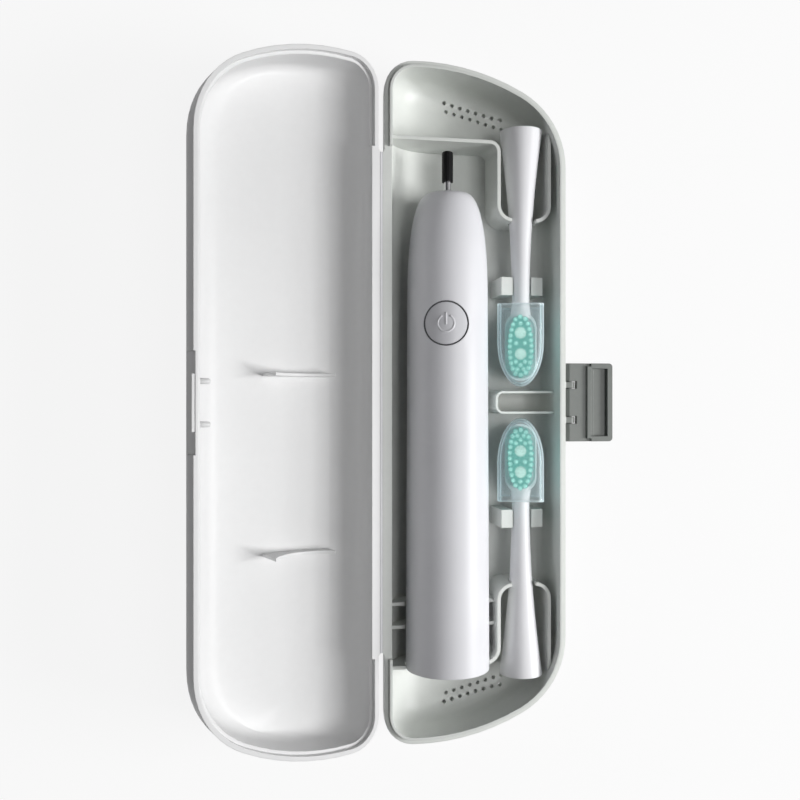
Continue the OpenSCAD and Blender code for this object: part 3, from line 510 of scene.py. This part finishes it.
# %% Grow the strands
def strand(points, faces, foot, lean, low_z, high_z, radius):
    """One rod from low_z to high_z that bends outwards by lean."""
    sides = 5
    start = len(points)
    tip = radius * 1.2
    rings = ((low_z, 1.0), (high_z - tip, 1.0), (high_z - tip * 0.35, 0.72))
    for z, share in rings:
        bent = ((z - low_z) / (high_z - low_z)) ** 2
        for side in range(sides):
            a = 2 * math.pi * side / sides
            x = foot[0] + lean[0] * bent + radius * share * math.cos(a)
            y = foot[1] + lean[1] * bent + radius * share * math.sin(a)
            points.append((x, y, z))
    points.append((foot[0] + lean[0], foot[1] + lean[1], high_z))
    for ring in range(2):
        for side in range(sides):
            a = start + ring * sides + side
            b = start + ring * sides + (side + 1) % sides
            faces.append((a, b, b + sides, a + sides))
    for side in range(sides):
        a = start + 2 * sides + side
        b = start + 2 * sides + (side + 1) % sides
        faces.append((a, b, len(points) - 1))


strand_radius = 0.00009
splay = 0.0001  # how far a strand at the tuft's edge leans out
jitter = 0.00003  # by how much each strand strays from that
dome = 0.0021  # how much lower the tuft's edge is than its middle


def tuft(points, faces, centre, reach, count, high_z, dice):
    """A round bundle of strands, which sit on a spiral and end in a dome."""
    for i in range(count):
        share = math.sqrt((i + 0.5) / count)
        a = i * math.pi * (3 - math.sqrt(5))
        away = Vector((math.cos(a), math.sin(a))) * share
        out = away * (reach - strand_radius)
        foot = (centre[0] + out.x, centre[1] + out.y)
        lean = (away.x * splay + dice.gauss(0, jitter), away.y * splay + dice.gauss(0, jitter))
        top = high_z - dome * share**3 - dice.random() * 0.0001
        strand(points, faces, foot, lean, strand_foot, top, strand_radius)


print("green strands reach", round(1000 * green_top, 1), "mm above the head's axis")

# %% [markdown]
# The strands are painted darker towards the plate, as painted shade where little light gets in, and
# palest at their tips, as painted light.
# Height along the strands gives that change of tone, and a fine noise gives each one its own shade.
# Nylon passes light from strand to strand, and a faint painted glow of its own colour stands in for
# that.
# Both heads lie on one line, so the height of one axis serves for both.

# %% Make the strands' colours
def nylon(name, root, middle, tip, top):
    finish = Finish(name, {"Specular IOR Level": 0.5, "Emission Strength": 0.58})
    point = finish.place()
    axis_height = places["upper"].translation.dot(head_leaning)
    sideways = finish.along(point, "X") * head_leaning.x
    upwards = finish.along(point, "Z") * head_leaning.z
    height = (sideways + upwards - axis_height) / top
    shade = finish.noise(point, 2400.0, 1.0)
    # Painted shade towards the plate, and painted light at the tips.
    near = finish.blend(height.rise(0.15, 0.85), root, middle)
    colour = finish.blend((height.rise(0.87, 0.955) * 0.88 + shade * 0.2).clamped(), near, tip)
    # A painted glow, darker towards the root.
    glow = finish.blend(height.rise(0.78, 0.96), root, colour)
    finish.set(Base_Color=colour, Emission_Color=glow, Roughness=0.32 + shade * 0.1)
    return finish.material


green_nylon = nylon(
    "green_nylon", (0.03, 0.25, 0.21), (0.09, 0.42, 0.36), (0.62, 0.96, 0.90), green_top
)
pale_nylon = nylon(
    "pale_nylon", (0.30, 0.46, 0.42), (0.50, 0.66, 0.61), (0.72, 0.84, 0.80), pale_top
)
print("strand colours:", green_nylon.name, pale_nylon.name)

# %% [markdown]
# The ring's tufts stand at even steps round an oval.
# Walking once round it in short steps gives the length at each angle, and so where even steps fall.

# %% Walk round the oval
ring_half_width = 0.00381
ring_half_length = 0.00971


def oval(a, side):
    """A point of the ring; it is squarer than an ellipse, and narrower towards the neck."""
    taper = 0.93 + 0.07 * math.sin(a)
    across = ring_half_width * taper * math.copysign(abs(math.cos(a)) ** 0.8, math.cos(a))
    return across, side * ring_half_length * math.sin(a)


def even_steps(count, side):
    steps = 720
    walk = [oval(2 * math.pi * i / steps, side) for i in range(steps + 1)]
    run = [0.0]
    for here, there in zip(walk, walk[1:]):
        run.append(run[-1] + math.dist(here, there))
    spots = []
    for k in range(count):
        wanted = run[-1] * k / count
        spots.append(walk[min(range(steps), key=lambda i: abs(run[i] - wanted))])
    return spots


print("the ring's half axes are", ring_half_width, "and", ring_half_length, "m")

# %% [markdown]
# All strands of one kind on one head become one mesh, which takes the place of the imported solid.
# It rides with its head, so it lifts out of the tray with it.
# Between the tufts the plate would show, so lower strands are set wherever the oval is still free.

# %% Fill a field
gap_top = 0.0092
gap_uneven = 0.0003
gap_strand_radius = 0.00011


def plant(head, kind, centres, reach, count, top, material, gaps=()):
    """Grow one kind of strand on one head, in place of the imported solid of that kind."""
    node = f"{head}_head_{kind}_bristles"
    dice = random.Random(node)
    points, faces = [], []
    for centre in centres:
        tuft(points, faces, centre, reach, count, top, dice)
    for spot in gaps:
        lean = (dice.gauss(0, jitter), dice.gauss(0, jitter))
        spot_top = gap_top - dice.random() * gap_uneven
        strand(points, faces, spot, lean, strand_foot, spot_top, gap_strand_radius)
    mesh = bpy.data.meshes.new(f"{head}_{kind}_tufts")
    mesh.from_pydata(points, [], faces)
    mesh.transform(places[head])
    mesh.polygons.foreach_set("use_smooth", [True] * len(faces))
    mesh.materials.append(material)
    piece = bpy.data.objects.new(f"{head}_{kind}_tufts", mesh)
    bpy.context.scene.collection.objects.link(piece)
    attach(piece, f"{head}_head")
    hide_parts(node)
    print(piece.name, len(centres), "tufts,", len(centres) * count + len(gaps), "strands")


def between(tufts):
    """Spots of a fine grid inside the oval, but in none of the tufts, given as (middle, reach)."""
    step = 0.00024
    rows, columns = 42, 17  # to each side of the middle, enough to cover the oval
    within_oval, within_tuft = 0.95, 0.9
    spots = []
    for row in range(-rows, rows + 1):
        for column in range(-columns, columns + 1):
            spot = (step * (column + 0.5 * (row % 2)), step * row)
            oval_share = (spot[0] / ring_half_width) ** 2 + (spot[1] / ring_half_length) ** 2
            free = all(math.dist(spot, middle) > within_tuft * reach for middle, reach in tufts)
            if oval_share < within_oval and free:
                spots.append(spot)
    return spots


print("fields can be planted")

# %% [markdown]
# Three pairs of tufts and two single ones stand inside the ring, where the pale tufts leave room.
# The pale tufts are wider than the green ones, and a little higher.
# One head's list serves both, because its lengthwise numbers change sign with the side of the tip.

# %% Plant them in both heads
ring_tufts = 24
green_strands = 46
pale_strands = 170
green_reach = 0.00096
pale_reach = 0.0021
pale_shift = 0.0009  # the pale pair's middle lies this far from the field's, away from the tip
pale_half_apart = 0.00355
inner_tufts = [
    (-0.00145, -pale_shift),
    (0.00145, -pale_shift),
    (0.0, 0.0064),
    (-0.0015, 0.0053),
    (0.0015, 0.0053),
    (-0.00105, 0.0078),
    (0.00105, 0.0078),
    (0.0, -0.0075),
]
for head, side in tip_side.items():
    inner = [(across, side * along) for across, along in inner_tufts]
    green = even_steps(ring_tufts, side) + inner
    pale = [(0.0, -side * pale_shift + step) for step in (-pale_half_apart, pale_half_apart)]
    tufts = [(middle, green_reach) for middle in green] + [(middle, pale_reach) for middle in pale]
    low = between(tufts)
    plant(head, "green", green, green_reach, green_strands, green_top, green_nylon, low)
    plant(head, "pale", pale, pale_reach, pale_strands, pale_top, pale_nylon)

# %% [markdown]
# ## The power mark
# The button carries the usual mark, an open ring with a stroke in the gap.
# It is moulded a little proud of the button, as a low rounded bead that follows the curved face.
# It rides with the button, and so sinks with it when it is pressed.

# %% Find the button's face
button_roll = math.radians(15)
button_normal = Vector((-math.sin(button_roll), 0, math.cos(button_roll)))
button_across = Vector((math.cos(button_roll), 0, math.sin(button_roll)))
housing_low, housing_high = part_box("handset_housing")
button_low, button_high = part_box("power_button")
grip_axis = Vector(((housing_low.x + housing_high.x) / 2, 0, (housing_low.z + housing_high.z) / 2))
button_points = [v.co - grip_axis for v in nodes["power_button"].data.vertices]
face_radius = max(math.hypot(v.x, v.z) for v in button_points)
mark_middle = (button_low.y + button_high.y) / 2
print("button face radius in mm:", round(1000 * face_radius, 2))


def on_button(across, along, height):
    """A point of the scene from a place on the face and a height over it."""
    rise = math.sqrt(face_radius**2 - across**2) + height
    spot = grip_axis + button_across * across + button_normal * rise
    return (spot.x, mark_middle + along, spot.z)


# %% [markdown]
# The bead is a strip of small faces that follows a path on the flat.
# Its section is given as pairs of a share of its half width and a share of its height.
# The edges dip under the button's face, so that no gap shows beneath them.

# %% Shape a bead
bead_half = 0.0004
bead_rise = 0.00017
bead_profile = [(-1.0, -0.2), (-0.75, 0.5), (-0.3, 1.0), (0.3, 1.0), (0.75, 0.5), (1.0, -0.2)]


def bead(points, faces, path):
    """A low rounded bead along a path of flat points, which the face carries."""
    start = len(points)
    sides = len(bead_profile)
    for i, here in enumerate(path):
        before = path[max(i - 1, 0)]
        after = path[min(i + 1, len(path) - 1)]
        run = Vector((after[0] - before[0], after[1] - before[1])).normalized()
        for offset, height in bead_profile:
            x = here[0] - run.y * offset * bead_half
            y = here[1] + run.x * offset * bead_half
            points.append(on_button(x, y, height * bead_rise))
    for i in range(len(path) - 1):
        for k in range(sides - 1):
            a = start + i * sides + k
            faces.append((a, a + sides, a + sides + 1, a + 1))
    faces.append(tuple(range(start, start + sides)))
    faces.append(tuple(range(len(points) - 1, len(points) - sides - 1, -1)))


print("bead:", round(2000 * bead_half, 2), "mm wide,", round(1000 * bead_rise, 2), "mm high")

# %% [markdown]
# The ring is open at the top, and the stroke stands in that gap and reaches into the ring.

# %% Lay the mark on the button
ring_radius = 0.0027
ring_start, ring_end, ring_step = 28, 333, 8  # in degrees from the top
ring_path = []
for degrees in range(ring_start, ring_end, ring_step):
    a = math.radians(degrees)
    ring_path.append((ring_radius * math.sin(a), ring_radius * math.cos(a)))
stroke_start, stroke_step, stroke_points = -0.0005, 0.0004, 11
stroke_path = [(0.0, stroke_start + stroke_step * i) for i in range(stroke_points)]
points, faces = [], []
bead(points, faces, ring_path)
bead(points, faces, stroke_path)
mark_mesh = bpy.data.meshes.new("power_mark")
mark_mesh.from_pydata(points, [], faces)
mark_mesh.polygons.foreach_set("use_smooth", [True] * len(faces))
mark_mesh.materials.append(mark_skin)
power_mark = bpy.data.objects.new("power_mark", mark_mesh)
bpy.context.scene.collection.objects.link(power_mark)
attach(power_mark, "power_button")
print("power mark", len(faces), "faces")

# %% [markdown]
# ## The lid's two pegs
# Two small pegs stand out of the lid's far wall, just inside the rim, near the catch bar.
# The solid lid has their stumps, which its rim hides from above.
# In the photograph they reach further, so longer ones are set over the stumps.
# Each is a round rod with a domed end, given as pairs of a length and a share of its radius.

# %% Shape a peg
lid_low, lid_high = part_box("lid_shell")
short_of_flat = math.radians(22.3)  # how far the open lid is from lying flat
peg_axis = Vector((math.cos(short_of_flat), 0, -math.sin(short_of_flat)))
peg_across = Vector((math.sin(short_of_flat), 0, math.cos(short_of_flat)))
peg_inset, peg_depth = 0.0034, 0.0049
peg_root = Vector((lid_low.x + peg_inset, 0, lid_high.z - peg_depth))
peg_apart = 0.0128
peg_radius = 0.00092
peg_length = 0.0042
peg_sides = 24
peg_profile = [(0.0, 1.0), (peg_length - peg_radius, 1.0)]
for degrees in (30, 55, 75):  # three rings round the dome, from its edge upwards
    a = math.radians(degrees)
    peg_profile.append((peg_length - peg_radius * (1 - math.sin(a)), math.cos(a)))


def peg(points, faces, along):
    """One peg, at a place along the lid's wall."""
    start = len(points)
    for out, share in peg_profile:
        for i in range(peg_sides):
            a = 2 * math.pi * i / peg_sides
            spot = peg_root + peg_axis * out + peg_across * (math.cos(a) * peg_radius * share)
            points.append((spot.x, along + math.sin(a) * peg_radius * share, spot.z))
    for ring in range(len(peg_profile) - 1):
        for i in range(peg_sides):
            a = start + ring * peg_sides + i
            b = start + ring * peg_sides + (i + 1) % peg_sides
            faces.append((a, b, b + peg_sides, a + peg_sides))
    faces.append(tuple(range(start + peg_sides - 1, start - 1, -1)))
    faces.append(tuple(range(len(points) - peg_sides, len(points))))


print("pegs reach", round(1000 * peg_length, 1), "mm out of the wall")

# %% [markdown]
# Both pegs are one mesh, and ride with the lid.
# Their plastic is the lid's, painted a shade deeper as painted shade, so that they show in the
# bright lid.

# %% Set both pegs
points, faces = [], []
for along in (-peg_apart / 2, peg_apart / 2):
    peg(points, faces, along)
peg_mesh = bpy.data.meshes.new("lid_pegs")
peg_mesh.from_pydata(points, [], faces)
peg_mesh.polygons.foreach_set("use_smooth", [True] * len(faces))
# The pegs' deeper tone is painted shade.
peg_shaded_plastic = moulding(
    "peg_shaded_plastic", (0.75, 0.75, 0.75), (0.70, 0.70, 0.70), 0.26, 0.00001, 0.0001
)
peg_mesh.materials.append(peg_shaded_plastic)
lid_pegs = bpy.data.objects.new("lid_pegs", peg_mesh)
bpy.context.scene.collection.objects.link(lid_pegs)
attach(lid_pegs, "lid")
print("pegs set,", len(faces), "faces")

# %% [markdown]
# ## Table and backdrop
# The surface under the object has to come out white and still take its shadow.
# Part of the white is the surface's own glow, which only the camera and reflections see.
# The rest is plain matt paint, which the shadow darkens.
# Under the vents and under the latch there is no glow, so what shows through their holes is dark.
# Under the vents that dark is the base's real shadow. Round the latch the patch is a painted
# shadow, darker than the lit floor beside it.
# Those two places are ellipses: a sum of squares is 1 on their outline.

# %% Mix the table's paint
vents_at = Vector((0.0035, 0.1008))
vents_reach = Vector((0.0155, 0.0062))
vents_slant = 0.42
latch_at = latch_low.x + 0.007
latch_reach = 0.0105


def white_stage(name, glow):
    finish = Finish(name, {"Roughness": 0.9, "Specular IOR Level": 0.1})
    point = finish.place()
    cloud = finish.noise(point, 6.0)
    finish.set(Base_Color=finish.blend(cloud, (0.80, 0.80, 0.80), (0.82, 0.82, 0.82)))
    across = finish.along(point, "X")
    along = abs(finish.along(point, "Y"))
    on_row = along + (across - vents_at.x) * vents_slant
    across_vents = (across - vents_at.x) / vents_reach.x
    along_vents = (on_row - vents_at.y) / vents_reach.y
    past_vents = (across_vents * across_vents + along_vents * along_vents).rise(0.75, 1.15)
    across_latch = (across - latch_at) / latch_reach
    along_latch = along / latch_reach
    # Inside this ellipse the floor has no glow: a painted shadow under the latch.
    outside_latch_shadow = (across_latch * across_latch + along_latch * along_latch).rise(0.80, 1.20)
    seen = finish.add("ShaderNodeLightPath", output="Is Camera Ray")
    mirrored = finish.add("ShaderNodeLightPath", output="Is Glossy Ray")
    through = finish.add("ShaderNodeLightPath", output="Is Transmission Ray")
    bright = finish.add("ShaderNodeEmission", None, {"Color": (1.0, 1.0, 1.0), "Strength": 1.0})
    share = (seen + mirrored + through).clamped() * past_vents * outside_latch_shadow * glow
    plain = Reading(finish, finish.shader.outputs[0])
    mixed = finish.add("ShaderNodeMixShader", None, {0: share, 1: plain, 2: bright})
    finish.feed(finish.tree.nodes["Material Output"].inputs["Surface"], mixed)
    return finish.material


table_paint = white_stage("table_paint", 0.88)
print("paint mixed:", table_paint.name)

# %% [markdown]
# The table is one wide square, a hair below the case's flat back, so that the two don't flicker.

# %% Lay the table
reach = 2.5
corners = [(-reach, -reach, 0), (reach, -reach, 0), (reach, reach, 0), (-reach, reach, 0)]
table_mesh = bpy.data.meshes.new("table")
table_mesh.from_pydata(corners, [], [(0, 1, 2, 3)])
table_mesh.materials.append(table_paint)
table = bpy.data.objects.new("table", table_mesh)
table.location.z = -0.0001
bpy.context.scene.collection.objects.link(table)
print("table laid,", 2 * reach, "m wide")

# %% [markdown]
# ## Light
# In the photograph the light comes low from the right, and a little from the lower end.
# A lamp about 33 degrees up gives the lid's tones, and leaves the faces that look left dark.
# A weak soft lamp overhead lights the bottoms of the pockets, and the world lifts the rest.
# The background is white by itself, because rays from the camera see a plain white world.

# %% Hang the lamps
def lamp(name, place, size, power):
    """A soft lamp that looks at the middle of the scene; sizes in metres, power in watts."""
    data = bpy.data.lights.new(name, "AREA")
    data.shape = "RECTANGLE"
    data.size, data.size_y = size
    data.energy = power
    light = bpy.data.objects.new(name, data)
    light.location = place
    light.rotation_euler = (-Vector(place)).to_track_quat("-Z", "Y").to_euler()
    bpy.context.scene.collection.objects.link(light)
    print(name, "at", place, power, "W")


lamp("window_right", (0.93, -0.14, 0.60), (0.5, 0.4), 11.2)
lamp("ceiling", (0.25, -0.05, 0.95), (0.4, 0.4), 2.5)

# %% [markdown]
# The world has a faint cool sky for the light it gives, and plain white for what the camera sees.
# The Standard view transform shows colours about as they are written.

# %% Set the world
world = bpy.data.worlds.new("studio")
bpy.context.scene.world = world
world.use_nodes = True
world.node_tree.nodes.remove(world.node_tree.nodes["Background"])
studio = Graph(world.node_tree)
sky = studio.add("ShaderNodeBackground", None, {"Color": (0.93, 0.95, 1.0), "Strength": 0.045})
white = studio.add("ShaderNodeBackground", None, {"Color": (1.0, 1.0, 1.0), "Strength": 1.0})
to_camera = studio.add("ShaderNodeLightPath", output="Is Camera Ray")
surface = studio.add("ShaderNodeMixShader", None, {0: to_camera, 1: sky, 2: white})
studio.feed(studio.tree.nodes["World Output"].inputs["Surface"], surface)
bpy.context.scene.view_settings.view_transform = "Standard"
print("world set:", world.name)
